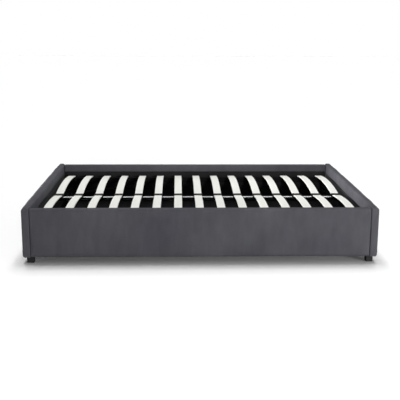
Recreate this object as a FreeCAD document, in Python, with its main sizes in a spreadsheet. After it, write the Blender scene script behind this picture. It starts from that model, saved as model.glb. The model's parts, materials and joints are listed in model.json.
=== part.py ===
import FreeCAD
import Part
import Sketcher
import math
import os
from FreeCAD import Placement, Rotation, Vector

# Upholstered double bed base with a slatted steel platform that lifts on two gas struts.
# X runs from the head (-) to the foot (+), Y from the near side (-) to the far side (+), Z is up.
# The origin is on the floor under the middle of the bed. All sizes are millimetres.

SLATS_PER_ROW = 15
NEAR, FAR = -1, 1
HEAD, FOOT = -1, 1

SIZES = {
    # the mattress that the walls stand round
    "mattress_length": 1900,
    "mattress_width": 1350,
    "mattress_gap": 5,
    # walls: a board in a padded cover that turns over the top and ends on the inside
    "board_thickness": 32,
    "outer_pad": 10,
    "top_pad": 8,
    "inner_fabric": 3,
    "bottom_fabric": 3,
    "rail_height": 278,
    "end_rise": 5,
    "rail_turnover": 47,
    "end_turnover": 64,
    "end_outer_radius": 15,
    "end_inner_radius": 14,
    "rail_outer_radius": 6,
    "rail_inner_radius": 6,
    "bottom_radius": 14,
    "seam_radius": 5,
    # feet
    "foot_height": 35,
    "foot_width": 40,
    "foot_inset": 21,
    "foot_radius": 4,
    "foot_chamfer": 2,
    "middle_foot_spacing": 600,
    # corner angles and the bolts through them
    "bracket_leg": 50,
    "bracket_thickness": 3,
    "bracket_lift": 4,
    "bracket_headroom": 15,
    "bolt_from_corner": 30,
    "bolt_diameter": 8,
    "bolt_head": 16,
    "bolt_head_height": 4,
    "bolt_clearance": 0.25,
    "bolt_tip_cover": 2,
    # storage floor
    "bearer_height": 18,
    "bearer_width": 25,
    "middle_bearer_width": 60,
    "floor_thickness": 5,
    "floor_gap": 1,
    # platform frame of rectangular steel tube
    "frame_drop": 39,
    "tube_width": 25,
    "tube_height": 35,
    "tube_wall": 1.5,
    "tube_radius": 3,
    "bar_width": 25,
    "bar_height": 25,
    "frame_end_gap": 10,
    "frame_side_gap": 10,
    "rest_gap": 0.3,
    "ledger_width": 25,
    "ledger_height": 30,
    "ledger_start_gap": 20,
    # sprung slats and their holders
    "slat_width": 48,
    "slat_thickness": 8,
    "slat_bow": 22.5,
    "slat_chamfer": 1.5,
    "slat_end_inset": 35,
    "slat_middle_gap": 16,
    "slat_clearance": 0.3,
    "holder_base": 3,
    "holder_wall": 3,
    "holder_height": 16,
    "holder_grip": 16,
    "holder_middle_reach": 22,
    "holder_radius": 5,
    "peg_width": 10,
    "peg_length": 8,
    "peg_clearance": 0.2,
    # hinges at the head end
    "plate_thickness": 4,
    "plate_margin": 10,
    "plate_back": 25,
    "plate_front": 55,
    "plate_edge": 20,
    "plate_radius": 10,
    "plate_bolt_inset": 15,
    "plate_bolt_low": 15,
    "plate_bolt_pitch": 45,
    "pin_diameter": 10,
    "pin_head": 18,
    "pin_head_height": 4,
    "pin_clearance": 0.1,
    # gas struts: the lower stud stands over the storage floor, the upper one hangs below the hinge pin
    "strut_base_x": 23,
    "strut_base_height": 54.5,
    "strut_reach": 480,
    "strut_drop": 40,
    "stud_diameter": 8,
    "stud_collar": 18,
    "stud_washer": 2.5,
    "stud_play": 0.3,
    "eye_diameter": 22,
    "eye_width": 12,
    "eye_overlap": 1.5,
    "open_pivot_lift": 1.9,
    "open_pivot_clearance": 2.4,
    "strut_diameter": 22,
    "strut_wall": 1.7,
    "strut_body_length": 285,
    "strut_bottom": 6,
    "strut_guide": 12,
    "neck_diameter": 10,
    "neck_length": 6,
    "rod_diameter": 10,
    "rod_clearance": 0.15,
    "piston_length": 10,
    "piston_offset": 12,
    # lugs that carry the struts' upper studs
    "lug_thickness": 5,
    "lug_width": 60,
    "lug_edge": 14,
    "lug_top_margin": 8,
    "lug_radius": 10,
}

doc = FreeCAD.newDocument("double_bed")
sheet = doc.addObject("Spreadsheet::Sheet", "dims")
for row_number, (name, number) in enumerate(SIZES.items(), 1):
    sheet.set(f"A{row_number}", name.replace("_", " "))
    sheet.set(f"B{row_number}", str(number))
    sheet.setAlias(f"B{row_number}", name)
doc.recompute()


class Dim:
    """A length: its number, and the sheet expression that drives it."""

    def __init__(self, value, text):
        self.value = float(value)
        self.text = text

    def __add__(self, other):
        other = as_dim(other)
        return Dim(self.value + other.value, f"({self.text} + {other.text})")

    def __sub__(self, other):
        other = as_dim(other)
        return Dim(self.value - other.value, f"({self.text} - {other.text})")

    def __mul__(self, other):
        other = as_dim(other)
        return Dim(self.value * other.value, f"({self.text} * {other.text})")

    def __truediv__(self, other):
        other = as_dim(other)
        return Dim(self.value / other.value, f"({self.text} / {other.text})")

    def __neg__(self):
        return Dim(-self.value, f"(0 - {self.text})")


def as_dim(size):
    return size if isinstance(size, Dim) else Dim(size, f"({size})")


def distance(across, up):
    return Dim(math.hypot(across.value, up.value), f"sqrt({across.text} ^ 2 + {up.text} ^ 2)")


def slope(across, up):
    angle = math.degrees(math.atan2(up.value, across.value))
    return Dim(angle, f"atan2({up.text}; {across.text})")


class Sizes:
    """Every driving size under its own name."""


s = Sizes()
for name, number in SIZES.items():
    setattr(s, name, Dim(number, "dims." + name))


# Bodies, sketches and features

parts = []


def new_body(label):
    body = doc.addObject("PartDesign::Body", label)
    body.Label = label
    body.AllowCompound = True
    parts.append(body)
    return body


def origin(body, role):
    return next(item for item in body.Origin.OriginFeatures if item.Role == role)


def new_sketch(body, plane, offset=None):
    """An empty sketch on one of the body's own planes, moved along that plane's normal."""
    sketch = body.newObject("Sketcher::SketchObject", "Sketch")
    sketch.AttachmentSupport = [(origin(body, plane), "")]
    sketch.MapMode = "FlatFace"
    if offset is not None:
        sketch.setExpression("AttachmentOffset.Base.z", offset.text)
    return sketch


def point(place):
    return Vector(place[0].value, place[1].value, 0)


def fix(sketch, geometry, vertex, place):
    """Ties a vertex to its place by its two distances from the sketch's origin."""
    for kind, size in zip(("DistanceX", "DistanceY"), place):
        if size is not None:
            rule = Sketcher.Constraint(kind, -1, 1, geometry, vertex, size.value)
            number = sketch.addConstraint(rule)
            sketch.setExpression(f"Constraints[{number}]", size.text)


def drive(sketch, kind, geometry, size):
    number = sketch.addConstraint(Sketcher.Constraint(kind, geometry, size.value))
    sketch.setExpression(f"Constraints[{number}]", size.text)


def step(start, end):
    across = end[0].value - start[0].value
    up = end[1].value - start[1].value
    length = math.hypot(across, up)
    return across / length, up / length


def outline(sketch, corners):
    """A closed outline through corners (x, y) or (x, y, radius), its edges square to the axes."""
    count = len(corners)
    places = [(as_dim(corner[0]), as_dim(corner[1])) for corner in corners]
    radii = [corner[2] if len(corner) > 2 else None for corner in corners]
    entries = []
    exits = []
    for index, place in enumerate(places):
        if radii[index] is None:
            entries.append(place)
            exits.append(place)
            continue
        for ends, neighbour in ((entries, index - 1), (exits, (index + 1) % count)):
            across, up = step(place, places[neighbour])
            ends.append((place[0] + radii[index] * across, place[1] + radii[index] * up))
    lines = []
    for index in range(count):
        edge = Part.LineSegment(point(exits[index]), point(entries[(index + 1) % count]))
        lines.append(sketch.addGeometry(edge))
    for index in range(count):
        after = (index + 1) % count
        fix(sketch, lines[index], 1, exits[index])
        if radii[after] is None:
            sketch.addConstraint(Sketcher.Constraint("Coincident", lines[index], 2, lines[after], 1))
        else:
            fix(sketch, lines[index], 2, entries[after])
            round_corner(sketch, lines[index], lines[after], entries[after], exits[after], radii[after])


def round_corner(sketch, before, after, entry, leave, radius):
    """A quarter arc from the end of one edge to the start of the next."""
    into = sketch.Geometry[before]
    along = into.EndPoint - into.StartPoint
    turn = along.cross(sketch.Geometry[after].EndPoint - sketch.Geometry[after].StartPoint).z
    along.normalize()
    inward = Vector(-along.y, along.x, 0) if turn > 0 else Vector(along.y, -along.x, 0)
    centre = point(entry) + inward * radius.value
    start, end = (entry, leave) if turn > 0 else (leave, entry)
    angles = []
    for place in (start, end):
        ray = point(place) - centre
        angles.append(math.atan2(ray.y, ray.x))
    circle = Part.Circle(centre, Vector(0, 0, 1), radius.value)
    arc = sketch.addGeometry(Part.ArcOfCircle(circle, angles[0], angles[1]))
    first, last = (1, 2) if turn > 0 else (2, 1)
    sketch.addConstraint(Sketcher.Constraint("Coincident", arc, first, before, 2))
    sketch.addConstraint(Sketcher.Constraint("Coincident", arc, last, after, 1))
    drive(sketch, "Radius", arc, radius)


def rectangle(sketch, x_range, y_range, radius=None):
    corners = [(x, y) for x, y in zip(x_range + x_range[::-1], (y_range[0],) * 2 + (y_range[1],) * 2)]
    if radius is not None:
        corners = [corner + (radius,) for corner in corners]
    outline(sketch, corners)


def circles(sketch, centres, diameter):
    for centre in centres:
        place = (as_dim(centre[0]), as_dim(centre[1]))
        ring = Part.Circle(point(place), Vector(0, 0, 1), diameter.value / 2)
        geometry = sketch.addGeometry(ring)
        fix(sketch, geometry, 3, place)
        drive(sketch, "Diameter", geometry, diameter)


def pad(body, sketch, length, symmetric=False, back=False):
    feature = body.newObject("PartDesign::Pad", "Pad")
    feature.Profile = sketch
    feature.SideType = "Symmetric" if symmetric else "One side"
    feature.Reversed = back
    feature.setExpression("Length", length.text)
    body.Tip = feature
    return feature


def cut(body, sketch, length=None, symmetric=True):
    """Cuts the sketch to a length, or right through when no length is given."""
    doc.recompute()
    before = body.Tip.Shape.Volume
    feature = body.newObject("PartDesign::Pocket", "Pocket")
    feature.Profile = sketch
    feature.SideType = "Symmetric" if symmetric else "One side"
    if length is None:
        feature.Type = "ThroughAll"
    else:
        feature.setExpression("Length", length.text)
    body.Tip = feature
    doc.recompute()
    if feature.Shape.Volume > before - 0.01:
        raise RuntimeError(f"{body.Label}: a cut took nothing away")
    return feature


def revolve(body, sketch):
    """Turns the sketch once about its own horizontal axis."""
    feature = body.newObject("PartDesign::Revolution", "Revolution")
    feature.Profile = sketch
    feature.ReferenceAxis = (sketch, ["H_Axis"])
    feature.Angle = 360
    body.Tip = feature
    return feature


def dress(body, kind, size_name, size, wanted):
    """Fillet or chamfer on the edges that the test picks."""
    doc.recompute()
    base = body.Tip
    names = [f"Edge{number}" for number, edge in enumerate(base.Shape.Edges, 1) if wanted(edge)]
    feature = body.newObject("PartDesign::" + kind, kind)
    feature.Base = (base, names)
    feature.setExpression(size_name, size.text)
    body.Tip = feature
    return feature


def mirror(body, plane):
    feature = body.newObject("PartDesign::Mirrored", "Mirrored")
    feature.TransformMode = "Whole shape"
    feature.MirrorPlane = (origin(body, plane), [""])
    body.Tip = feature
    return feature


def row_along_x(body, length, feature_to_repeat=None):
    """One copy for each slat of a row, of a feature or of the whole body."""
    feature = body.newObject("PartDesign::LinearPattern", "LinearPattern")
    if feature_to_repeat is None:
        feature.TransformMode = "Whole shape"
    else:
        feature.Originals = [feature_to_repeat]
    feature.Direction = (origin(body, "X_Axis"), [""])
    feature.setExpression("Length", length.text)
    feature.Occurrences = SLATS_PER_ROW
    body.Tip = feature
    return feature


def place_at(body, x, y, z, tilt=None):
    """Moves a body to its place and tilts it up about the cross axis."""
    body.Placement = Placement(Vector(x.value, y.value, z.value), Rotation(Vector(0, -1, 0), 0))
    if tilt is not None:
        body.Placement.Rotation = Rotation(Vector(0, -1, 0), tilt.value)
        body.setExpression("Placement.Rotation.Angle", tilt.text)
    for axis, size in zip("xyz", (x, y, z)):
        body.setExpression("Placement.Base." + axis, size.text)


# Places shared by several pieces

wall = s.outer_pad + s.board_thickness + s.inner_fabric
inner_x = s.mattress_length / 2 + s.mattress_gap
inner_y = s.mattress_width / 2 + s.mattress_gap
outer_x = inner_x + wall
outer_y = inner_y + wall
base_z = s.foot_height
rail_z = base_z + s.rail_height
end_z = rail_z + s.end_rise
rail_hem = rail_z - s.rail_turnover
end_hem = end_z - s.end_turnover

bearer_z = base_z + s.bearer_height
floor_z = bearer_z + s.floor_thickness

frame_x = inner_x - s.frame_end_gap
frame_y = inner_y - s.frame_side_gap
frame_z = rail_hem - s.frame_drop
frame_bottom = frame_z - s.tube_height
tube_in_x = frame_x - s.tube_width
tube_in_y = frame_y - s.tube_width
tube_mid_y = frame_y - s.tube_width / 2
ledger_top = frame_bottom - s.rest_gap
ledger_bottom = ledger_top - s.ledger_height

bracket_z = floor_z + s.bracket_lift
bracket_height = ledger_bottom - s.bracket_headroom - bracket_z
corner_bolt_zs = (bracket_z + bracket_height / 4, bracket_z + bracket_height / 4 * 3)
corner_bolt_x = inner_x - s.bolt_from_corner
corner_bolt_y = inner_y - s.bolt_from_corner
bolt_hole = s.bolt_diameter + s.bolt_clearance * 2

slat_outer_y = frame_y - s.holder_wall - s.slat_clearance
slat_inner_y = s.slat_middle_gap / 2
slat_half = (slat_outer_y - slat_inner_y) / 2
slat_mid_y = (slat_outer_y + slat_inner_y) / 2
slat_z = frame_z + s.holder_base + s.slat_thickness
first_slat_x = s.slat_end_inset + s.slat_width / 2 - inner_x
row_length = first_slat_x * -2
slat_pitch = row_length / (SLATS_PER_ROW - 1)
holder_half = s.slat_width / 2 + s.slat_clearance + s.holder_wall

pin_x = s.bracket_leg + s.plate_margin + s.plate_back - inner_x
pin_z = frame_z - s.tube_height / 2
pin_hole = s.pin_diameter + s.pin_clearance * 2
strut_y = tube_mid_y
lower_stud = (pin_x + s.strut_base_x, floor_z + s.strut_base_height)
upper_stud = (pin_x + s.strut_reach, pin_z - s.strut_drop)
strut_run = (upper_stud[0] - lower_stud[0], upper_stud[1] + s.open_pivot_lift - lower_stud[1])
strut_length = distance(*strut_run)
strut_tilt = slope(*strut_run)
eye_out_y = strut_y + s.eye_width / 2 + s.stud_play
eye_in_y = strut_y - s.eye_width / 2 - s.stud_play
plate_low = lower_stud[1] - s.plate_edge
plate_bolt_x = pin_x + s.plate_front - s.plate_bolt_inset
plate_bolt_zs = (plate_low + s.plate_bolt_low, plate_low + s.plate_bolt_low + s.plate_bolt_pitch)

rail_bolt_places = [(corner_bolt_x * end, z) for end in (HEAD, FOOT) for z in corner_bolt_zs]
rail_bolt_places += [(plate_bolt_x, z) for z in plate_bolt_zs]
end_bolt_places = [(corner_bolt_y * side, z) for side in (NEAR, FAR) for z in corner_bolt_zs]


# Walls: end panels stand on the XZ profile, side rails on the YZ profile

class Wall:
    """One wall: which plane its profile lies on, its side of the bed, and its own sizes."""

    def __init__(self, name, plane, side, inside, top, hem, radii, length, window, drill_plane, bolt_places):
        self.name = name
        self.plane = plane
        self.side = side
        self.inside = inside
        self.top = top
        self.hem = hem
        self.outer_radius, self.inner_radius = radii
        self.length = length
        self.window = window
        self.drill_plane = drill_plane
        self.bolt_places = bolt_places

    def across(self, depth):
        """Distance from the bed's middle, `depth` into the wall from its inside face."""
        return (self.inside + depth) * self.side

    def board_range(self):
        return self.across(s.inner_fabric), self.across(s.inner_fabric + s.board_thickness)


end_radii = (s.end_outer_radius, s.end_inner_radius)
rail_radii = (s.rail_outer_radius, s.rail_inner_radius)
end_window = (inner_y - s.outer_pad) * 2
rail_window = (inner_x - s.outer_pad) * 2
end_sizes = (inner_x, end_z, end_hem, end_radii, outer_y * 2, end_window, "YZ_Plane", end_bolt_places)
rail_sizes = (inner_y, rail_z, rail_hem, rail_radii, inner_x * 2, rail_window, "XZ_Plane", rail_bolt_places)
WALLS = [
    Wall("head", "XZ_Plane", HEAD, *end_sizes),
    Wall("foot", "XZ_Plane", FOOT, *end_sizes),
    Wall("near_side", "YZ_Plane", NEAR, *rail_sizes),
    Wall("far_side", "YZ_Plane", FAR, *rail_sizes),
]


def drill(body, plane, places, diameter):
    sketch = new_sketch(body, plane)
    circles(sketch, places, diameter)
    cut(body, sketch)


def make_board(panel):
    body = new_body(panel.name + "_board")
    sketch = new_sketch(body, panel.plane)
    rectangle(sketch, panel.board_range(), (base_z + s.bottom_fabric, panel.top - s.top_pad))
    pad(body, sketch, panel.length - s.outer_pad * 2, symmetric=True)
    drill(body, panel.drill_plane, panel.bolt_places, bolt_hole)


def make_cover(panel):
    """Padded skin: round outer edges, a cavity for the board and a window for the lining."""
    body = new_body(panel.name + "_cover")
    inside = panel.across(as_dim(0))
    outside = panel.across(wall)
    sketch = new_sketch(body, panel.plane)
    outline(sketch, [
        (inside, base_z),
        (outside, base_z, s.bottom_radius),
        (outside, panel.top, panel.outer_radius),
        (inside, panel.top, panel.inner_radius),
    ])
    pad(body, sketch, panel.length, symmetric=True)
    end_place = panel.length.value / 2
    along = "y" if panel.plane == "XZ_Plane" else "x"

    def on_end_face(edge):
        places = [abs(getattr(vertex.Point, along)) for vertex in edge.Vertexes]
        return all(abs(place - end_place) < 0.001 for place in places)

    dress(body, "Fillet", "Radius", s.seam_radius, on_end_face)
    sketch = new_sketch(body, panel.plane)
    rectangle(sketch, panel.board_range(), (base_z + s.bottom_fabric, panel.top - s.top_pad))
    cut(body, sketch, panel.length - s.outer_pad * 2)
    sketch = new_sketch(body, panel.plane)
    rectangle(sketch, (inside, panel.across(s.inner_fabric)), (base_z + s.bottom_fabric, panel.hem))
    cut(body, sketch, panel.window)


for panel in WALLS:
    make_board(panel)
for panel in WALLS:
    make_cover(panel)

linings = new_body("inner_linings")
for panel in WALLS:
    lining_sketch = new_sketch(linings, panel.plane)
    lining_range = (panel.across(as_dim(0)), panel.across(s.inner_fabric))
    rectangle(lining_sketch, lining_range, (base_z + s.bottom_fabric, panel.hem))
    pad(linings, lining_sketch, panel.window, symmetric=True)
drill(linings, "XZ_Plane", rail_bolt_places, bolt_hole)
drill(linings, "YZ_Plane", end_bolt_places, bolt_hole)


# Feet, corner angles, bolts and the storage floor

def make_feet():
    """Feet with a bevelled sole: one at each corner and three under the middle bearer."""
    body = new_body("feet")
    half = s.foot_width / 2
    corner_x = outer_x - s.foot_inset - half
    corner_y = outer_y - s.foot_inset - half
    places = [(corner_x * end, corner_y * side) for end in (HEAD, FOOT) for side in (NEAR, FAR)]
    places += [(s.middle_foot_spacing * place, as_dim(0)) for place in (-1, 0, 1)]
    sketch = new_sketch(body, "XY_Plane", s.foot_chamfer)
    for x, y in places:
        rectangle(sketch, (x - half, x + half), (y - half, y + half), s.foot_radius)
    pad(body, sketch, s.foot_height - s.foot_chamfer)
    sole = pad(body, sketch, s.foot_chamfer, back=True)
    sole.TaperAngle = -45


def make_brackets():
    body = new_body("corner_brackets")
    sketch = new_sketch(body, "XY_Plane", bracket_z)
    outline(sketch, [
        (-inner_x, -inner_y),
        (s.bracket_leg - inner_x, -inner_y),
        (s.bracket_leg - inner_x, s.bracket_thickness - inner_y),
        (s.bracket_thickness - inner_x, s.bracket_thickness - inner_y),
        (s.bracket_thickness - inner_x, s.bracket_leg - inner_y),
        (-inner_x, s.bracket_leg - inner_y),
    ])
    pad(body, sketch, bracket_height)
    drill(body, "XZ_Plane", [(-corner_bolt_x, z) for z in corner_bolt_zs], bolt_hole)
    drill(body, "YZ_Plane", [(-corner_bolt_y, z) for z in corner_bolt_zs], bolt_hole)
    mirror(body, "YZ_Plane")
    mirror(body, "XZ_Plane")


def add_bolts(body, plane, seat, seat_thickness, places):
    """Bolts into the head wall or the near rail, their heads seated inside the box."""
    outward = plane == "YZ_Plane"
    length = seat_thickness + s.inner_fabric + s.board_thickness - s.bolt_tip_cover
    sizes = ((s.bolt_diameter, length, outward), (s.bolt_head, s.bolt_head_height, not outward))
    for diameter, reach, back in sizes:
        sketch = new_sketch(body, plane, -seat if outward else seat)
        circles(sketch, places, diameter)
        pad(body, sketch, reach, back=back)


def make_bolts():
    body = new_body("frame_bolts")
    corner_x_places = [(-corner_bolt_x, z) for z in corner_bolt_zs]
    corner_y_places = [(-corner_bolt_y, z) for z in corner_bolt_zs]
    add_bolts(body, "XZ_Plane", inner_y - s.bracket_thickness, s.bracket_thickness, corner_x_places)
    add_bolts(body, "YZ_Plane", inner_x - s.bracket_thickness, s.bracket_thickness, corner_y_places)
    mirror(body, "YZ_Plane")
    plate_places = [(plate_bolt_x, z) for z in plate_bolt_zs]
    add_bolts(body, "XZ_Plane", inner_y - s.plate_thickness, s.plate_thickness, plate_places)
    mirror(body, "XZ_Plane")


def make_floor():
    body = new_body("floor_bearers")
    sketch = new_sketch(body, "YZ_Plane")
    half = s.middle_bearer_width / 2
    edge = inner_y - s.bearer_width
    for y_range in ((-inner_y, -edge), (-half, half), (edge, inner_y)):
        rectangle(sketch, y_range, (base_z, bearer_z))
    pad(body, sketch, inner_x * 2, symmetric=True)

    body = new_body("storage_floor_panels")
    sketch = new_sketch(body, "XY_Plane", bearer_z)
    rectangle(sketch, (s.floor_gap, inner_x - s.floor_gap), (s.floor_gap, inner_y - s.floor_gap))
    pad(body, sketch, s.floor_thickness)
    mirror(body, "YZ_Plane")
    mirror(body, "XZ_Plane")


def make_ledgers():
    """Battens that the platform comes down on: along both rails past the struts, and at the foot."""
    body = new_body("platform_ledgers")
    start = upper_stud[0] + s.lug_width / 2 + s.ledger_start_gap
    edge_y = inner_y - s.ledger_width
    sketch = new_sketch(body, "XY_Plane", ledger_bottom)
    rectangle(sketch, (start, inner_x), (-inner_y, -edge_y))
    rectangle(sketch, (start, inner_x), (edge_y, inner_y))
    pad(body, sketch, s.ledger_height)
    sketch = new_sketch(body, "XY_Plane", ledger_bottom)
    rectangle(sketch, (inner_x - s.ledger_width, inner_x), (s.floor_gap - edge_y, edge_y - s.floor_gap))
    pad(body, sketch, s.ledger_height)


make_feet()
make_brackets()
make_bolts()
make_floor()
make_ledgers()


# Platform frame: hollow tubes, the outer and the inner outline in one sketch

def tube(label, plane, across, width, height, length):
    """Rectangular tube whose top is the frame's top, from `across` over its width."""
    body = new_body(label)
    sketch = new_sketch(body, plane)
    bottom = frame_z - height
    rectangle(sketch, (across, across + width), (bottom, frame_z), s.tube_radius)
    inner_range = (across + s.tube_wall, across + width - s.tube_wall)
    rectangle(sketch, inner_range, (bottom + s.tube_wall, frame_z - s.tube_wall))
    pad(body, sketch, length, symmetric=True)
    return body


def cut_peg_holes(body, middle_y):
    half = s.peg_width / 2 + s.peg_clearance
    sketch = new_sketch(body, "XY_Plane", frame_z)
    rectangle(sketch, (first_slat_x - half, first_slat_x + half), (middle_y - half, middle_y + half))
    hole = cut(body, sketch, s.tube_wall, symmetric=False)
    row_along_x(body, row_length, hole)


for side, label in ((NEAR, "near_side_tube"), (FAR, "far_side_tube")):
    across = -frame_y if side == NEAR else tube_in_y
    side_tube = tube(label, "YZ_Plane", across, s.tube_width, s.tube_height, frame_x * 2)
    drill(side_tube, "XZ_Plane", [(pin_x, pin_z)], pin_hole)
    cut_peg_holes(side_tube, tube_mid_y * side)
tube("head_tube", "XZ_Plane", -frame_x, s.tube_width, s.tube_height, tube_in_y * 2)
tube("foot_tube", "XZ_Plane", tube_in_x, s.tube_width, s.tube_height, tube_in_y * 2)
centre_bar = tube("centre_bar", "YZ_Plane", s.bar_width / -2, s.bar_width, s.bar_height, tube_in_x * 2)
cut_peg_holes(centre_bar, as_dim(0))


# Slats, and the holders whose sockets follow the same bow

def slat_outline(sketch, middle_y, top_z, grow):
    """Strip between two concentric arcs, the top one ending at top_z, grown all round by a clearance."""
    radius = (slat_half * slat_half + s.slat_bow * s.slat_bow) / (s.slat_bow * 2)
    centre = (middle_y, top_z + s.slat_bow - radius)
    reach = slat_half + grow
    arcs = []
    for arc_radius in (radius + grow, radius - s.slat_thickness - grow):
        half_angle = math.asin(reach.value / arc_radius.value)
        circle = Part.Circle(point(centre), Vector(0, 0, 1), arc_radius.value)
        span = (math.pi / 2 - half_angle, math.pi / 2 + half_angle)
        arc = sketch.addGeometry(Part.ArcOfCircle(circle, *span))
        fix(sketch, arc, 3, centre)
        fix(sketch, arc, 1, (middle_y + reach, None))
        fix(sketch, arc, 2, (middle_y - reach, None))
        drive(sketch, "Radius", arc, arc_radius)
        arcs.append(arc)
    for vertex in (1, 2):
        ends = [sketch.getPoint(arc, vertex) for arc in arcs]
        edge = sketch.addGeometry(Part.LineSegment(*ends))
        for arc, edge_vertex in zip(arcs, (1, 2)):
            sketch.addConstraint(Sketcher.Constraint("Coincident", edge, edge_vertex, arc, vertex))


def make_slat(label, x, middle_y):
    body = new_body(label)
    sketch = new_sketch(body, "YZ_Plane")
    slat_outline(sketch, as_dim(0), as_dim(0), as_dim(0))
    pad(body, sketch, s.slat_width, symmetric=True)
    dress(body, "Chamfer", "Size", s.slat_chamfer, lambda edge: edge.Length > slat_half.value)
    place_at(body, x, middle_y, slat_z)


def cut_socket(body, middle_y):
    sketch = new_sketch(body, "YZ_Plane", first_slat_x)
    slat_outline(sketch, middle_y, slat_z, s.slat_clearance)
    cut(body, sketch, s.slat_width + s.slat_clearance * 2)


def make_holders(label, y_range, peg_y, socket_places, both_sides):
    """A block with a peg below and a socket for each slat end, repeated along the row."""
    body = new_body(label)
    sketch = new_sketch(body, "XY_Plane", frame_z)
    rectangle(sketch, (first_slat_x - holder_half, first_slat_x + holder_half), y_range, s.holder_radius)
    pad(body, sketch, s.holder_height)
    half = s.peg_width / 2
    sketch = new_sketch(body, "XY_Plane", frame_z)
    rectangle(sketch, (first_slat_x - half, first_slat_x + half), (peg_y - half, peg_y + half))
    pad(body, sketch, s.peg_length, back=True)
    for middle_y in socket_places:
        cut_socket(body, middle_y)
    row_along_x(body, row_length)
    if both_sides:
        mirror(body, "XZ_Plane")


holder_in_y = slat_outer_y - s.holder_grip
reach_y = s.holder_middle_reach
make_holders("slat_end_caps", (-frame_y, -holder_in_y), -tube_mid_y, [-slat_mid_y], True)
make_holders("slat_centre_caps", (-reach_y, reach_y), as_dim(0), [-slat_mid_y, slat_mid_y], False)
for side, row_name in ((NEAR, "near"), (FAR, "far")):
    for index in range(SLATS_PER_ROW):
        make_slat(f"{row_name}_slat_{index + 1:02d}", first_slat_x + slat_pitch * index, slat_mid_y * side)


# Hinges and gas struts

def add_disc(body, place, start_y, end_y, diameter):
    """Round boss on the near side, from one distance off the bed's middle to a smaller or larger one."""
    sketch = new_sketch(body, "XZ_Plane", start_y)
    circles(sketch, [place], diameter)
    inward = start_y.value > end_y.value
    pad(body, sketch, start_y - end_y if inward else end_y - start_y, back=inward)


def make_hinges():
    body = new_body("hinge_plates")
    plate_y = inner_y - s.plate_thickness
    sketch = new_sketch(body, "XZ_Plane", inner_y)
    x_range = (pin_x - s.plate_back, pin_x + s.plate_front)
    rectangle(sketch, x_range, (plate_low, pin_z + s.plate_edge), s.plate_radius)
    pad(body, sketch, s.plate_thickness, back=True)
    add_disc(body, lower_stud, plate_y, eye_out_y, s.stud_collar)
    add_disc(body, lower_stud, plate_y, eye_in_y, s.stud_diameter)
    add_disc(body, lower_stud, eye_in_y, eye_in_y - s.stud_washer, s.stud_collar)
    drill(body, "XZ_Plane", [(pin_x, pin_z)], pin_hole)
    drill(body, "XZ_Plane", [(plate_bolt_x, z) for z in plate_bolt_zs], bolt_hole)
    mirror(body, "XZ_Plane")

    body = new_body("hinge_pins")
    head_y = tube_in_y - s.rest_gap
    add_disc(body, (pin_x, pin_z), inner_y, head_y, s.pin_diameter)
    add_disc(body, (pin_x, pin_z), plate_y, frame_y + s.rest_gap, s.pin_head)
    add_disc(body, (pin_x, pin_z), head_y, head_y - s.pin_head_height, s.pin_head)
    mirror(body, "XZ_Plane")


def make_lugs():
    body = new_body("lift_lugs")
    sketch = new_sketch(body, "XZ_Plane", tube_in_y)
    half = s.lug_width / 2
    x_range = (upper_stud[0] - half, upper_stud[0] + half)
    rectangle(sketch, x_range, (upper_stud[1] - s.lug_edge, frame_z - s.lug_top_margin), s.lug_radius)
    pad(body, sketch, s.lug_thickness, back=True)
    add_disc(body, upper_stud, tube_in_y, eye_in_y, s.stud_collar)
    add_disc(body, upper_stud, tube_in_y, eye_out_y, s.stud_diameter)
    add_disc(body, upper_stud, eye_out_y, eye_out_y + s.stud_washer, s.stud_collar)
    mirror(body, "XZ_Plane")


def add_eye(body, along, bore):
    for diameter, is_bore in ((s.eye_diameter, False), (bore, True)):
        sketch = new_sketch(body, "XZ_Plane")
        circles(sketch, [(along, as_dim(0))], diameter)
        if is_bore:
            cut(body, sketch)
        else:
            pad(body, sketch, s.eye_width, symmetric=True)


eye_radius = s.eye_diameter / 2
eye_root = eye_radius - s.eye_overlap
barrel_start = eye_radius + s.neck_length
barrel_end = barrel_start + s.strut_body_length
barrel_radius = s.strut_diameter / 2
bore_radius = barrel_radius - s.strut_wall
bore_start = barrel_start + s.strut_bottom
guide_start = barrel_end - s.strut_guide
rod_radius = s.rod_diameter / 2
guide_radius = rod_radius + s.rod_clearance
piston_start = bore_start + s.piston_offset
piston_end = piston_start + s.piston_length
piston_radius = bore_radius - s.rod_clearance
neck_radius = s.neck_diameter / 2
axis = as_dim(0)

BARREL_PROFILE = [
    (eye_root, axis), (barrel_start + s.strut_bottom, axis), (bore_start, bore_radius),
    (guide_start, bore_radius), (guide_start, guide_radius), (barrel_end, guide_radius),
    (barrel_end, barrel_radius), (barrel_start, barrel_radius), (barrel_start, neck_radius),
    (eye_root, neck_radius),
]
ROD_PROFILE = [
    (piston_start, axis), (strut_length - eye_root, axis), (strut_length - eye_root, rod_radius),
    (piston_end, rod_radius), (piston_end, piston_radius), (piston_start, piston_radius),
]


def make_strut(name, side):
    barrel = new_body(name + "_strut_tube")
    sketch = new_sketch(barrel, "XZ_Plane")
    outline(sketch, BARREL_PROFILE)
    revolve(barrel, sketch)
    add_eye(barrel, axis, s.stud_diameter + s.pin_clearance * 2)

    rod = new_body(name + "_strut_rod")
    sketch = new_sketch(rod, "XZ_Plane")
    outline(sketch, ROD_PROFILE)
    revolve(rod, sketch)
    add_eye(rod, strut_length, s.stud_diameter + s.open_pivot_clearance * 2)
    for body in (barrel, rod):
        place_at(body, lower_stud[0], strut_y * side, lower_stud[1], strut_tilt)


make_hinges()
make_lugs()
make_strut("near", NEAR)
make_strut("far", FAR)


# Every object must be sound before anything is written

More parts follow.
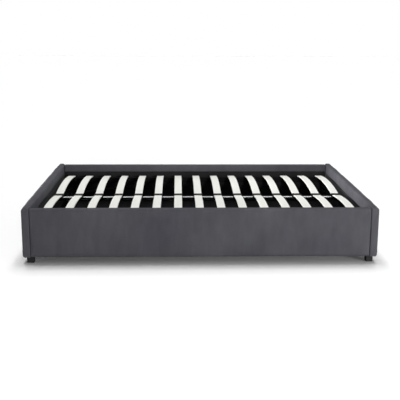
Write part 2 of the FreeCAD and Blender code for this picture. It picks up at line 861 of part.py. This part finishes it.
doc.recompute()
failed = [item.Label for item in doc.Objects if "Invalid" in item.State or "Error" in item.State]
failed += [body.Label for body in parts if body.Shape.isNull() or not body.Shape.isValid()]
if failed:
    raise RuntimeError("failed: " + ", ".join(sorted(set(failed))))
os.makedirs("parts", exist_ok=True)
for body in parts:
    body.Shape.exportStep(os.path.join("parts", body.Label + ".step"))
    box = body.Shape.BoundBox
    print(f"{body.Label}: {len(body.Shape.Solids)} solid(s), {body.Shape.Volume / 1000:.1f} cm3,"
          f" x {box.XMin:.1f} to {box.XMax:.1f}, y {box.YMin:.1f} to {box.YMax:.1f},"
          f" z {box.ZMin:.1f} to {box.ZMax:.1f}")
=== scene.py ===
import json
import math

import bpy
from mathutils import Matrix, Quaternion, Vector, noise

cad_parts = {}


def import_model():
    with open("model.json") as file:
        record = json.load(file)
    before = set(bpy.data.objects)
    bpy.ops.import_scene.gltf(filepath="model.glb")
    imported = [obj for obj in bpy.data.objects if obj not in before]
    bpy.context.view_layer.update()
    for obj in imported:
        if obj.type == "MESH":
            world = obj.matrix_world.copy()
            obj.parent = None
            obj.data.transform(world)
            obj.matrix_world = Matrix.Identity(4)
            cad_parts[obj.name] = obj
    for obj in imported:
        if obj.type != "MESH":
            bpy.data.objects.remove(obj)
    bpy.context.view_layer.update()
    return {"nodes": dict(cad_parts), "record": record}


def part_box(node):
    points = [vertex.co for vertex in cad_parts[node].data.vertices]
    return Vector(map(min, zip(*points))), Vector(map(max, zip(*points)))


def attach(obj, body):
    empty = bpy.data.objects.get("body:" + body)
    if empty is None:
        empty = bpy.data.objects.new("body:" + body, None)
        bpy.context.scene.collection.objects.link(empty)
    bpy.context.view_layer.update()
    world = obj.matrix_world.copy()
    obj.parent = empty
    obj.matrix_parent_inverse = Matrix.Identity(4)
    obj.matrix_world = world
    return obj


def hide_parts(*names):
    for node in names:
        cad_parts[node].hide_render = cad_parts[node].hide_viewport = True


# An upholstered double bed base with a lifting slatted platform. Metres, in the part's own frame:
# X from the head to the foot, Y from the near side to the far side, Z up from the floor.

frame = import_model()
nodes = frame["nodes"]

# Upholstery
END_RADII = (0.015, 0.014)  # outer and inner edge along the top
RAIL_RADII = (0.006, 0.006)
END_HEM = 0.254  # height at which the velvet ends on the inside and the lining starts
RAIL_HEM = 0.266
HEM_TOLERANCE = 1e-6
BOTTOM_RADIUS = 0.014
HIDDEN_RADIUS = 0.006  # lower edge inside the box
SEAM_RADIUS = 0.005
SEAM_GAP = 0.0015  # between a rail's end and the panel it meets
SEAM_HELD = 0.99  # share of the seam's radius past which the cover is sewn down
OUTER_INSET = 0.0025  # room for the swell inside the cover's real outline
SKIN_THICKNESS = 0.003

# Steps of the covers' meshes
ARC_STEPS = 4
ACROSS_STEPS = 3
TURNOVER_STEPS = 5
HEIGHT_STEPS = 26
LENGTH_STEP = 0.014
END_CROWDING = 0.3  # how much closer the steps lie near a wall's ends

# Swell of the padding, as cloth under pressure
PUFF_LIMIT = 0.0035
PUFF_FRAMES = 20
PUFF_CLOTH = {
    "quality": 5,
    "mass": 0.3,
    "tension_stiffness": 20,
    "compression_stiffness": 20,
    "shear_stiffness": 8,
    "bending_stiffness": 2,
    "use_pressure": True,
    "uniform_pressure_force": 4.0,
}

# Lining cloth
LINING_DEPTH = 0.0013  # from the cover's inside face to the middle of the cloth
LINING_THICKNESS = 0.001
LINING_END_GAP = 0.002
LINING_STEP = 0.03
LINING_WAVE = 0.0003
LINING_WAVES = 9  # to the metre
LINING_SLICE = 3  # keeps the waves of the ends apart from those of the rails

# Directions in a wall's section, as (depth, height)
DOWN, OUT, UP, BACK = (0, -1), (1, 0), (0, 1), (-1, 0)
HALF_CORNER = 45  # degrees

WALLS = {  # name: (axis along the wall, axis through it, side of the bed, radii along the top, hem)
    "head": (1, 0, -1, END_RADII, END_HEM),
    "foot": (1, 0, 1, END_RADII, END_HEM),
    "near_side": (0, 1, -1, RAIL_RADII, RAIL_HEM),
    "far_side": (0, 1, 1, RAIL_RADII, RAIL_HEM),
}
lining_low, lining_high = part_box("inner_linings")
lining_bottom = lining_low.z


# Colours and material nodes

NOISE_LOW, NOISE_HIGH = 0.3, 0.7  # most of a noise lies between these
MIX_FIRST, MIX_SECOND, MIX_RESULT = 6, 7, 2  # a Mix node's colour sockets, whose names aren't their own
GREY_LOW, GREY_HIGH = (0.86, 0.86, 0.86, 1), (1.0, 1.0, 1.0, 1)


def screen(red, green, blue):
    """Linear colour from screen values of 0 to 255."""
    def channel(value):
        share = value / 255
        return share / 12.92 if share <= 0.04045 else ((share + 0.055) / 1.055) ** 2.4
    return channel(red), channel(green), channel(blue), 1.0


class Finish:
    """A material round one Principled node, with short ways to vary it over the surface."""

    def __init__(self, name, **sockets):
        self.material = bpy.data.materials.new(name)
        self.material.use_nodes = True
        self.tree = self.material.node_tree
        self.shader = self.tree.nodes["Principled BSDF"]
        self.coordinates = self.tree.nodes.new("ShaderNodeTexCoord").outputs["Object"]
        for socket, value in sockets.items():
            self.shader.inputs[socket.replace("_", " ")].default_value = value

    def node(self, kind, **settings):
        made = self.tree.nodes.new("ShaderNode" + kind)
        for name, value in settings.items():
            setattr(made, name, value)
        return made

    def noise(self, scale, detail=2.0, stretch=(1, 1, 1), rough=0.5):
        """Noise with `scale` cells to the metre, drawn out along an axis by a stretch below 1."""
        mapping = self.node("Mapping")
        mapping.inputs["Scale"].default_value = [scale * share for share in stretch]
        texture = self.node("TexNoise")
        texture.inputs["Scale"].default_value = 1.0
        texture.inputs["Detail"].default_value = detail
        texture.inputs["Roughness"].default_value = rough
        self.tree.links.new(self.coordinates, mapping.inputs["Vector"])
        self.tree.links.new(mapping.outputs["Vector"], texture.inputs["Vector"])
        return texture.outputs["Fac"]

    def ramp(self, factor, low, high, start=NOISE_LOW, end=NOISE_HIGH):
        """Colour that goes from low to high as the factor goes from start to end."""
        made = self.node("ValToRGB")
        for element, place, colour in zip(made.color_ramp.elements, (start, end), (low, high)):
            element.position = place
            element.color = colour
        self.tree.links.new(factor, made.inputs["Fac"])
        return made.outputs["Color"]

    def multiply(self, share, colour, shade):
        """The colour darkened by a share of the shade."""
        made = self.node("Mix", data_type="RGBA", blend_type="MULTIPLY")
        made.inputs["Factor"].default_value = share
        self.tree.links.new(colour, made.inputs[MIX_FIRST])
        self.tree.links.new(shade, made.inputs[MIX_SECOND])
        return made.outputs[MIX_RESULT]

    def shade(self, factor):
        return self.ramp(factor, GREY_LOW, GREY_HIGH)

    def colour(self, output):
        self.tree.links.new(output, self.shader.inputs["Base Color"])

    def roughness(self, factor, low, high):
        made = self.node("MapRange")
        made.inputs["From Min"].default_value = NOISE_LOW
        made.inputs["From Max"].default_value = NOISE_HIGH
        made.inputs["To Min"].default_value = low
        made.inputs["To Max"].default_value = high
        self.tree.links.new(factor, made.inputs["Value"])
        self.tree.links.new(made.outputs["Result"], self.shader.inputs["Roughness"])

    def bump(self, *heights):
        """Stacks (noise, depth in metres, strength) under the surface normal."""
        normal = None
        for height, depth, strength in heights:
            made = self.node("Bump")
            made.inputs["Distance"].default_value = depth
            made.inputs["Strength"].default_value = strength
            self.tree.links.new(height, made.inputs["Height"])
            if normal is not None:
                self.tree.links.new(normal, made.inputs["Normal"])
            normal = made.outputs["Normal"]
        self.tree.links.new(normal, self.shader.inputs["Normal"])


def velvet():
    made = Finish("velvet", Roughness=0.9, Specular_IOR_Level=0.05, Sheen_Weight=0.015,
                  Sheen_Roughness=0.4, Sheen_Tint=screen(190, 190, 196))
    patches = made.noise(scale=2.5, detail=3.0)
    strokes = made.noise(scale=11, detail=3.0, stretch=(1, 1, 0.5))
    nap = made.noise(scale=38, detail=3.0, stretch=(1, 1, 0.3))
    fibre = made.noise(scale=1500)
    base = made.ramp(patches, screen(73, 73, 79), screen(84, 84, 88))
    stroked = made.multiply(1.0, base, made.shade(strokes))
    brushed = made.multiply(0.7, stroked, made.shade(nap))
    made.colour(made.multiply(0.8, brushed, made.shade(fibre)))
    made.bump((patches, 0.004, 0.25), (nap, 0.0008, 0.3), (fibre, 0.0003, 0.5))
    return made.material


def slat_white():
    """White foil on laminated wood, whose grain runs along the slat."""
    made = Finish("slat_white", Specular_IOR_Level=0.1)
    grain = made.noise(scale=70, detail=4.0, stretch=(1, 0.04, 1), rough=0.6)
    tone = made.noise(scale=9, stretch=(1, 0.3, 1))
    base = made.ramp(tone, screen(226, 227, 220), screen(233, 233, 228))
    made.colour(made.multiply(0.35, base, made.shade(grain)))
    made.roughness(grain, 0.42, 0.55)
    made.bump((grain, 0.0003, 0.3))
    return made.material


def black_cloth():
    made = Finish("lining_black", Roughness=0.95, Specular_IOR_Level=0.1, Sheen_Weight=0.05)
    fibre = made.noise(scale=900, detail=3.0)
    tone = made.noise(scale=12)
    base = made.ramp(tone, screen(31, 31, 32), screen(38, 38, 39))
    made.colour(made.multiply(0.9, base, made.shade(fibre)))
    made.bump((tone, 0.001, 0.3), (fibre, 0.0002, 0.5))
    return made.material


def moulded(name, low, high, rough, gloss):
    """Moulded plastic with a fine spark-eroded skin."""
    made = Finish(name, Specular_IOR_Level=gloss)
    skin = made.noise(scale=700)
    tone = made.noise(scale=25)
    made.colour(made.ramp(tone, low, high))
    made.roughness(skin, rough - 0.06, rough + 0.08)
    made.bump((skin, 0.0001, 0.4))
    return made.material


def powder_coat(name, low, high, rough, gloss):
    """Paint on steel tube, with orange peel."""
    made = Finish(name, Specular_IOR_Level=gloss)
    peel = made.noise(scale=320)
    tone = made.noise(scale=6, detail=3.0)
    made.colour(made.ramp(tone, low, high))
    made.roughness(tone, rough - 0.05, rough + 0.07)
    made.bump((peel, 0.0002, 0.35))
    return made.material


def metal(name, low, high, rough, stretch=(1, 1, 1)):
    """Bare or plated metal, with clouds and scratches."""
    made = Finish(name, Metallic=1.0)
    cloud = made.noise(scale=40, detail=3.0, stretch=stretch)
    scratch = made.noise(scale=900, stretch=stretch)
    made.colour(made.ramp(cloud, low, high))
    made.roughness(cloud, *rough)
    made.bump((scratch, 0.00005, 0.3))
    return made.material


def wood_board(name, low, high, gloss):
    """Pressed chips, coarse and fine."""
    made = Finish(name, Specular_IOR_Level=gloss, Roughness=0.8)
    chips = made.noise(scale=160, detail=4.0, stretch=(1, 0.5, 0.5), rough=0.65)
    tone = made.noise(scale=5)
    base = made.ramp(chips, low, high, start=0.35, end=0.65)
    made.colour(made.multiply(0.5, base, made.shade(tone)))
    made.bump((chips, 0.0004, 0.4))
    return made.material


FINISHES = {
    "velvet": velvet(),
    "slat_white": slat_white(),
    "lining_black": black_cloth(),
    "foot_black": moulded("foot_black", screen(20, 20, 21), screen(27, 27, 28), rough=0.6, gloss=0.2),
    "holder_black": moulded("holder_black", screen(20, 20, 21), screen(28, 28, 29), rough=0.7, gloss=0.08),
    "frame_black": powder_coat("frame_black", screen(11, 11, 12), screen(15, 15, 16), rough=0.7, gloss=0.05),
    "strut_black": powder_coat("strut_black", screen(12, 12, 13), screen(17, 17, 18), rough=0.5, gloss=0.1),
    "zinc_steel": metal("zinc_steel", screen(130, 132, 134), screen(148, 150, 151), rough=(0.2, 0.26),
                        stretch=(0.1, 1, 1)),
    "bolt_steel": metal("bolt_steel", screen(34, 35, 37), screen(48, 49, 51), rough=(0.45, 0.6)),
    "rod_dark": metal("rod_dark", screen(24, 24, 26), screen(33, 33, 35), rough=(0.25, 0.35)),
    "board_wood": wood_board("board_wood", screen(150, 120, 86), screen(188, 160, 122), gloss=0.25),
    "batten_black": wood_board("batten_black", screen(16, 16, 17), screen(24, 24, 25), gloss=0.15),
    "floor_black": wood_board("floor_black", screen(11, 11, 12), screen(17, 17, 18), gloss=0.05),
}

for subpart in frame["record"]["subparts"]:
    mesh = nodes[subpart["node"]].data
    mesh.materials.clear()
    mesh.materials.append(FINISHES[subpart["material_slot"]])


# Meshes and pieces

def linked(name, mesh):
    """A new piece of that mesh in the scene."""
    piece = bpy.data.objects.new(name, mesh)
    bpy.context.scene.collection.objects.link(piece)
    return piece


def smooth(mesh):
    mesh.polygons.foreach_set("use_smooth", [True] * len(mesh.polygons))


# Padded covers

def corner_arc(centre, radius, start, finish):
    """Points of an arc in degrees, both ends included, each with its normal."""
    points = []
    for step in range(ARC_STEPS + 1):
        angle = math.radians(start + (finish - start) * step / ARC_STEPS)
        points.append(((centre[0] + radius * math.cos(angle), centre[1] + radius * math.sin(angle)),
                       (math.cos(angle), math.sin(angle))))
    return points


def straight(start, finish, normal, steps):
    """Points strictly between two ends, with the outward normal."""
    made = []
    for step in range(1, steps):
        share = step / steps
        made.append(((start[0] + (finish[0] - start[0]) * share,
                      start[1] + (finish[1] - start[1]) * share), normal))
    return made


def wall_profile(depth, low, high, radii, hem_height):
    """The wall's section as four sides of (point, normal), each from one corner's middle to the next."""
    outer_radius, inner_radius = radii
    inner_low = (HIDDEN_RADIUS, low + HIDDEN_RADIUS)
    outer_low = (depth - BOTTOM_RADIUS, low + BOTTOM_RADIUS)
    outer_high = (depth - outer_radius, high - outer_radius)
    inner_high = (inner_radius, high - inner_radius)

    def side(first, first_angle, run, last, last_angle):
        """Half of the first corner, the run and half of the last corner."""
        return corner_arc(*first, first_angle, first_angle + HALF_CORNER) + run + \
            corner_arc(*last, last_angle, last_angle + HALF_CORNER)

    bottom = side((inner_low, HIDDEN_RADIUS), 225,
                  straight((inner_low[0], low), (outer_low[0], low), DOWN, ACROSS_STEPS),
                  (outer_low, BOTTOM_RADIUS), 270)
    outside = side((outer_low, BOTTOM_RADIUS), 315,
                   straight((depth, outer_low[1]), (depth, outer_high[1]), OUT, HEIGHT_STEPS),
                   (outer_high, outer_radius), 0)
    top = side((outer_high, outer_radius), 45,
               straight((outer_high[0], high), (inner_high[0], high), UP, ACROSS_STEPS),
               (inner_high, inner_radius), 90)
    hem = (0, hem_height)
    turnover = straight((0, inner_high[1]), hem, BACK, TURNOVER_STEPS) + [(hem, BACK)]
    below = straight(hem, (0, inner_low[1]), BACK, HEIGHT_STEPS - TURNOVER_STEPS)
    inside = side((inner_high, inner_radius), 135, turnover + below, (inner_low, HIDDEN_RADIUS), 180)
    return bottom, outside, top, inside


def patch(bottom, outside, top, inside):
    """Grid of points inside four joined sides, each as a list of 2-D points."""
    top, inside = top[::-1], inside[::-1]
    columns, rows = len(bottom) - 1, len(outside) - 1
    grid = []
    for row in range(rows + 1):
        v = row / rows
        line = []
        for column in range(columns + 1):
            u = column / columns
            place = []
            for axis in (0, 1):
                ruled = (1 - v) * bottom[column][axis] + v * top[column][axis]
                ruled += (1 - u) * inside[row][axis] + u * outside[row][axis]
                ruled -= (1 - v) * ((1 - u) * bottom[0][axis] + u * bottom[-1][axis])
                ruled -= v * ((1 - u) * top[0][axis] + u * top[-1][axis])
                place.append(ruled)
            line.append(tuple(place))
        grid.append(line)
    return grid


def length_stations(half):
    """Places along the wall and how far the section draws in there: round ends, close steps near them."""
    flat = half - SEAM_RADIUS
    steps = round(2 * flat / LENGTH_STEP)
    stations = []
    for step in range(ARC_STEPS, 0, -1):
        angle = math.radians(90 * step / ARC_STEPS)
        stations.append((-flat - SEAM_RADIUS * math.sin(angle), SEAM_RADIUS * (1 - math.cos(angle))))
    for step in range(steps + 1):
        share = 2 * step / steps - 1
        stations.append((flat * ((1 + END_CROWDING) * share - END_CROWDING * share ** 3), 0.0))
    return stations + [(-place, inset) for place, inset in reversed(stations[:ARC_STEPS])]


class Wall:
    """Maps a wall's own (depth, height, along) to the part's frame."""

    def __init__(self, name):
        self.name = name
        self.along, self.across, self.side, self.radii, self.hem = WALLS[name]
        low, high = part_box(name + "_cover")
        ends = (low[self.across], high[self.across])
        self.inside, self.outside = sorted(ends, key=abs)
        self.depth = abs(self.outside - self.inside)
        self.bottom, self.top = low.z, high.z
        self.half = high[self.along]
        self.lining_half = min(lining_high[self.along], self.half - LINING_END_GAP)
        self.is_rail = self.along == 0
        self.mirrored = self.side * (1 if self.is_rail else -1) < 0

    def place(self, depth, height, along):
        point = Vector((0, 0, height))
        point[self.across] = self.inside + depth * self.side
        point[self.along] = along
        return point


def cap_faces(wall, sides, station, base, points, pinned, order):
    """Closes one end with a grid of faces whose rim is the ring of vertices that starts at `base`."""
    along, inset = station
    drawn = [[(p[0] - n[0] * inset, p[1] - n[1] * inset) for p, n in side] for side in sides]
    grid = patch(*drawn)
    rows, columns = len(grid) - 1, len(grid[0]) - 1
    count = 2 * (rows + columns)
    numbers = {}
    for row in range(rows + 1):
        for column in range(columns + 1):
            if row == 0:
                number = base + column
            elif column == columns:
                number = base + columns + row
            elif row == rows:
                number = base + columns + rows + (columns - column)
            elif column == 0:
                number = base + (2 * columns + rows + (rows - row)) % count
            else:
                points.append(wall.place(*grid[row][column], along))
                number = len(points) - 1
                if wall.is_rail:
                    pinned.append(number)
            numbers[row, column] = number
    faces = []
    for row in range(rows):
        for column in range(columns):
            corners = [numbers[row, column], numbers[row, column + 1],
                       numbers[row + 1, column + 1], numbers[row + 1, column]]
            faces.append(corners[::order])
    return faces


def cover_mesh(wall):
    """Closed block on the wall's rounded section, its held vertices and the faces behind the lining."""
    sides = wall_profile(wall.depth - OUTER_INSET, wall.bottom, wall.top, wall.radii, wall.hem)
    ring = [item for side in sides for item in side[:-1]]
    stations = length_stations(wall.half - (SEAM_GAP if wall.is_rail else 0.0))
    points, pinned = [], []
    for along, inset in stations:
        at_seam = inset > SEAM_RADIUS * SEAM_HELD
        for (depth, height), normal in ring:
            points.append(wall.place(depth - normal[0] * inset, height - normal[1] * inset, along))
            if at_seam or normal in (BACK, DOWN):
                pinned.append(len(points) - 1)
    count = len(ring)
    faces, window = [], []
    for station in range(len(stations) - 1):
        reach = max(abs(stations[station][0]), abs(stations[station + 1][0]))
        for index in range(count):
            after = (index + 1) % count
            (_, height), normal = ring[index]
            upper = max(height, ring[after][0][1])
            if reach <= wall.lining_half and normal == BACK and upper <= wall.hem + HEM_TOLERANCE:
                window.append(len(faces))
            faces.append([station * count + index, station * count + after,
                          (station + 1) * count + after, (station + 1) * count + index])
    for station, order in ((0, -1), (len(stations) - 1, 1)):
        faces += cap_faces(wall, sides, stations[station], station * count, points, pinned, order)
    mesh = bpy.data.meshes.new(wall.name + "_velvet")
    mesh.from_pydata(points, [], faces)
    if wall.mirrored:
        mesh.flip_normals()
    return mesh, pinned, window


def puff(piece, pinned):
    """Inflates the cover as cloth held at its seams and where it lies on the board, then limits the swell."""
    rest = [(vertex.co.copy(), vertex.normal.copy()) for vertex in piece.data.vertices]
    held = piece.vertex_groups.new(name="held")
    held.add(pinned, 1.0, "REPLACE")
    cloth = piece.modifiers.new("puff", "CLOTH")
    for setting, value in PUFF_CLOTH.items():
        setattr(cloth.settings, setting, value)
    cloth.settings.effector_weights.gravity = 0
    cloth.settings.vertex_group_mass = "held"
    cloth.collision_settings.use_collision = False
    cloth.point_cache.frame_end = PUFF_FRAMES
    scene = bpy.context.scene
    for number in range(1, PUFF_FRAMES + 1):
        scene.frame_set(number)
    evaluated = piece.evaluated_get(bpy.context.evaluated_depsgraph_get())
    swollen = evaluated.to_mesh()
    moves = [vertex.co - place for vertex, (place, _) in zip(swollen.vertices, rest)]
    evaluated.to_mesh_clear()
    piece.modifiers.remove(cloth)
    piece.vertex_groups.remove(held)
    scene.frame_set(1)
    for vertex, (place, normal), move in zip(piece.data.vertices, rest, moves):
        swell = max(0.0, move.dot(normal))
        vertex.co = place + normal * PUFF_LIMIT * math.tanh(swell / PUFF_LIMIT)


def open_window(mesh, window):
    """A copy of the mesh without the faces that the lining covers."""
    gone = set(window)
    kept = [list(face.vertices) for face in mesh.polygons if face.index not in gone]
    used = sorted({number for face in kept for number in face})
    new_number = {old: new for new, old in enumerate(used)}
    points = [mesh.vertices[old].co.copy() for old in used]
    opened = bpy.data.meshes.new(mesh.name + "_skin")
    opened.from_pydata(points, [], [[new_number[number] for number in face] for face in kept])
    return opened


def make_cover(name):
    mesh, pinned, window = cover_mesh(Wall(name))
    piece = linked(name + "_velvet", mesh)
    puff(piece, pinned)
    piece.data = open_window(mesh, window)
    smooth(piece.data)
    piece.data.materials.append(FINISHES["velvet"])
    skin = piece.modifiers.new("skin", "SOLIDIFY")
    skin.thickness = SKIN_THICKNESS
    skin.offset = -1
    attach(piece, "base")
    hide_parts(name + "_cover")


for name in WALLS:
    make_cover(name)


# Lining cloth on the inside faces

def make_lining(name):
    wall = Wall(name)
    half = wall.lining_half
    columns = round(2 * half / LINING_STEP)
    drop = wall.hem - lining_bottom
    rows = round(drop / LINING_STEP)
    slice_place = wall.side + wall.along * LINING_SLICE
    points = []
    for row in range(rows + 1):
        height = lining_bottom + drop * row / rows
        for column in range(columns + 1):
            along = half * (2 * column / columns - 1)
            wave = noise.noise((along * LINING_WAVES, height * LINING_WAVES, slice_place))
            points.append(wall.place(LINING_DEPTH + LINING_WAVE * wave, height, along))
    faces = []
    for row in range(rows):
        for column in range(columns):
            first = row * (columns + 1) + column
            faces.append([first, first + 1, first + columns + 2, first + columns + 1])
    mesh = bpy.data.meshes.new(name + "_lining")
    mesh.from_pydata(points, [], faces)
    smooth(mesh)
    mesh.materials.append(FINISHES["lining_black"])
    piece = linked(name + "_lining", mesh)
    cloth = piece.modifiers.new("cloth", "SOLIDIFY")
    cloth.thickness = LINING_THICKNESS
    cloth.offset = 0
    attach(piece, "base")
    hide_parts("inner_linings")


for name in WALLS:
    make_lining(name)


# Plastic strip over the joint across the storage floor: a domed cap on a web that stands in the gap

STRIP_HALF_WIDTH = 0.011
STRIP_EDGE = 0.0006  # height of the cap's edges
STRIP_RISE = 0.0012  # of the dome above them
STRIP_WEB = 0.0006  # half of the web's thickness
STRIP_WEB_DEPTH = 0.004
STRIP_SEAT = 0.0001  # above the panels
STRIP_END_GAP = 0.003
STRIP_STEPS = 12


def make_joint_strip():
    low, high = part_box("storage_floor_panels")
    seat, foot = high.z + STRIP_SEAT, high.z - STRIP_WEB_DEPTH
    section = [(-STRIP_WEB, seat), (-STRIP_WEB, foot), (STRIP_WEB, foot), (STRIP_WEB, seat)]
    section.append((STRIP_HALF_WIDTH, seat))
    for step in range(STRIP_STEPS + 1):
        angle = math.pi * step / STRIP_STEPS
        section.append((STRIP_HALF_WIDTH * math.cos(angle), seat + STRIP_EDGE + STRIP_RISE * math.sin(angle)))
    section.append((-STRIP_HALF_WIDTH, seat))
    count = len(section)
    points = [(x, y, z) for y in (low.y + STRIP_END_GAP, high.y - STRIP_END_GAP) for x, z in section]
    faces = [list(range(count)), list(range(2 * count - 1, count - 1, -1))]
    for index in range(count):
        after = (index + 1) % count
        faces.append([index, count + index, count + after, after])
    mesh = bpy.data.meshes.new("floor_joint_strip")
    mesh.from_pydata(points, [], faces)
    mesh.materials.append(FINISHES["holder_black"])
    piece = linked("floor_joint_strip", mesh)
    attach(piece, "base")


make_joint_strip()


# Floor, light and camera

WHITE = (1, 1, 1, 1)
AMBIENT = 0.22
FLOOR_HALF = 30.0
FLOOR_BOUNCE = (0.8, 0.8, 0.8, 1)  # the floor's colour in the light that it throws back on the bed
FLOOR_GLOW = 0.03
OVERHEAD = ((8, 0.30), (20, 0.30), (34, 0.15))  # degrees towards the far side, light on a level surface
OVERHEAD_SIDE = 9  # degrees: each of those lamps is a pair, one to the left and one to the right
OVERHEAD_ANGLE = 12
OVERHEAD_HEIGHT = 5

# Soft light on the front, low so that it is even from top to bottom
FRONT_FILL = {"place": (0.2, -6.0, 0.3), "target": (0, 0, 0.06), "energy": 87, "size": 5.0, "size_y": 0.5}
RIGHT_FILL = {"place": (3.4, -3.4, 0.3), "target": (0.6, -0.72, 0.18), "energy": 124,
              "size": 1.5, "size_y": 0.3}

# Beams that pass over the near walls to the inside faces
FRONT_BEAM_PLACE, FRONT_BEAM_TARGET = (0.5, -5.4, 0.95), (0.5, 0.68, 0.29)
FRONT_BEAM_ENERGY = 1080
FRONT_BEAM_SPREAD = 3.4  # degrees
FRONT_BEAM_SOFTNESS = 0.05
FRONT_BEAM_WIDENING = 14  # a flat cone, wider than the bed
END_BEAMS = (("left_beam", -1, 1.95), ("right_beam", 1, 0.38))  # name, side of the bed, energy
END_BEAM_DISTANCE, END_BEAM_HEIGHT = 4.2, 0.5
END_BEAM_REACH, END_BEAM_TARGET_HEIGHT = 0.95, 0.3
END_BEAM_SIZE = {"size": 1.3, "size_y": 0.1}
END_BEAM_SPREAD = 6  # degrees

CAMERA_PLACE = (-0.1297, -4.953, 1.3071)
CAMERA_YAW = 1.659
CAMERA_PITCH = 12.551
CAMERA_ROLL = 0.259
CAMERA_LENS = 70.44
CAMERA_SENSOR = 36
CAMERA_REACH = 100


def world():
    """White where the camera or a reflection sees it, dimmer as a lamp."""
    made = bpy.data.worlds.new("studio")
    bpy.context.scene.world = made
    made.use_nodes = True
    tree = made.node_tree
    background = tree.nodes["Background"]
    path = tree.nodes.new("ShaderNodeLightPath")
    seen = path.outputs["Is Camera Ray"]
    for ray in ("Is Glossy Ray", "Is Transmission Ray"):
        either = tree.nodes.new("ShaderNodeMath")
        either.operation = "MAXIMUM"
        tree.links.new(seen, either.inputs[0])
        tree.links.new(path.outputs[ray], either.inputs[1])
        seen = either.outputs[0]
    strength = tree.nodes.new("ShaderNodeMapRange")
    strength.inputs["To Min"].default_value = AMBIENT
    strength.inputs["To Max"].default_value = 1.0
    tree.links.new(seen, strength.inputs["Value"])
    tree.links.new(strength.outputs["Result"], background.inputs["Strength"])
    background.inputs["Color"].default_value = WHITE


def floor():
    mesh = bpy.data.meshes.new("floor")
    edge = FLOOR_HALF
    corners = [(-edge, -edge, 0), (edge, -edge, 0), (edge, edge, 0), (-edge, edge, 0)]
    mesh.from_pydata(corners, [], [(0, 1, 2, 3)])
    made = Finish("studio_floor", Roughness=1.0, Specular_IOR_Level=0.0)
    path = made.node("LightPath")
    made.colour(made.ramp(path.outputs["Is Camera Ray"], FLOOR_BOUNCE, WHITE, start=0.0, end=1.0))
    made.shader.inputs["Emission Color"].default_value = WHITE
    glow = made.node("MapRange")
    glow.inputs["To Max"].default_value = FLOOR_GLOW
    made.tree.links.new(path.outputs["Is Camera Ray"], glow.inputs["Value"])
    made.tree.links.new(glow.outputs["Result"], made.shader.inputs["Emission Strength"])
    mesh.materials.append(made.material)
    linked("floor", mesh)


def aim(piece, place, target, roll=0.0):
    piece.location = place
    piece.rotation_mode = "QUATERNION"
    facing = (Vector(target) - Vector(place)).to_track_quat("-Z", "Y")
    piece.rotation_quaternion = facing @ Quaternion((0, 0, 1), roll)


def lamp(name, kind, place, target, energy, **settings):
    light = bpy.data.lights.new(name, kind)
    light.energy = energy
    for setting, value in settings.items():
        setattr(light, setting, value)
    piece = linked(name, light)
    aim(piece, place, target)
    return piece


def lights():
    for degrees, light in OVERHEAD:
        for side in (-1, 1):
            place = Vector((side * math.tan(math.radians(OVERHEAD_SIDE)), math.tan(math.radians(degrees)), 1))
            lamp(f"overhead_{degrees}", "SUN", place * OVERHEAD_HEIGHT, (0, 0, 0),
                 light / 2 * math.pi * place.length, angle=math.radians(OVERHEAD_ANGLE))
    lamp("front_fill", "AREA", shape="RECTANGLE", **FRONT_FILL)
    lamp("right_fill", "AREA", shape="RECTANGLE", **RIGHT_FILL)
    beam = lamp("front_beam", "SPOT", FRONT_BEAM_PLACE, FRONT_BEAM_TARGET, FRONT_BEAM_ENERGY, spot_blend=1.0,
                spot_size=math.radians(FRONT_BEAM_SPREAD), shadow_soft_size=FRONT_BEAM_SOFTNESS)
    beam.scale.x = FRONT_BEAM_WIDENING
    for name, side, energy in END_BEAMS:
        place = (END_BEAM_DISTANCE * side, 0, END_BEAM_HEIGHT)
        target = (-END_BEAM_REACH * side, 0, END_BEAM_TARGET_HEIGHT)
        lamp(name, "AREA", place, target, energy, shape="RECTANGLE",
             spread=math.radians(END_BEAM_SPREAD), **END_BEAM_SIZE)


def camera():
    data = bpy.data.cameras.new("camera")
    data.lens = CAMERA_LENS
    data.sensor_width = CAMERA_SENSOR
    data.clip_end = CAMERA_REACH
    piece = linked("camera", data)
    yaw, pitch = math.radians(CAMERA_YAW), math.radians(CAMERA_PITCH)
    ahead = Vector((math.sin(yaw) * math.cos(pitch), math.cos(yaw) * math.cos(pitch), -math.sin(pitch)))
    aim(piece, CAMERA_PLACE, Vector(CAMERA_PLACE) + ahead, math.radians(CAMERA_ROLL))
    bpy.context.scene.camera = piece


world()
floor()
lights()
camera()
bpy.context.scene.view_settings.view_transform = "Standard"
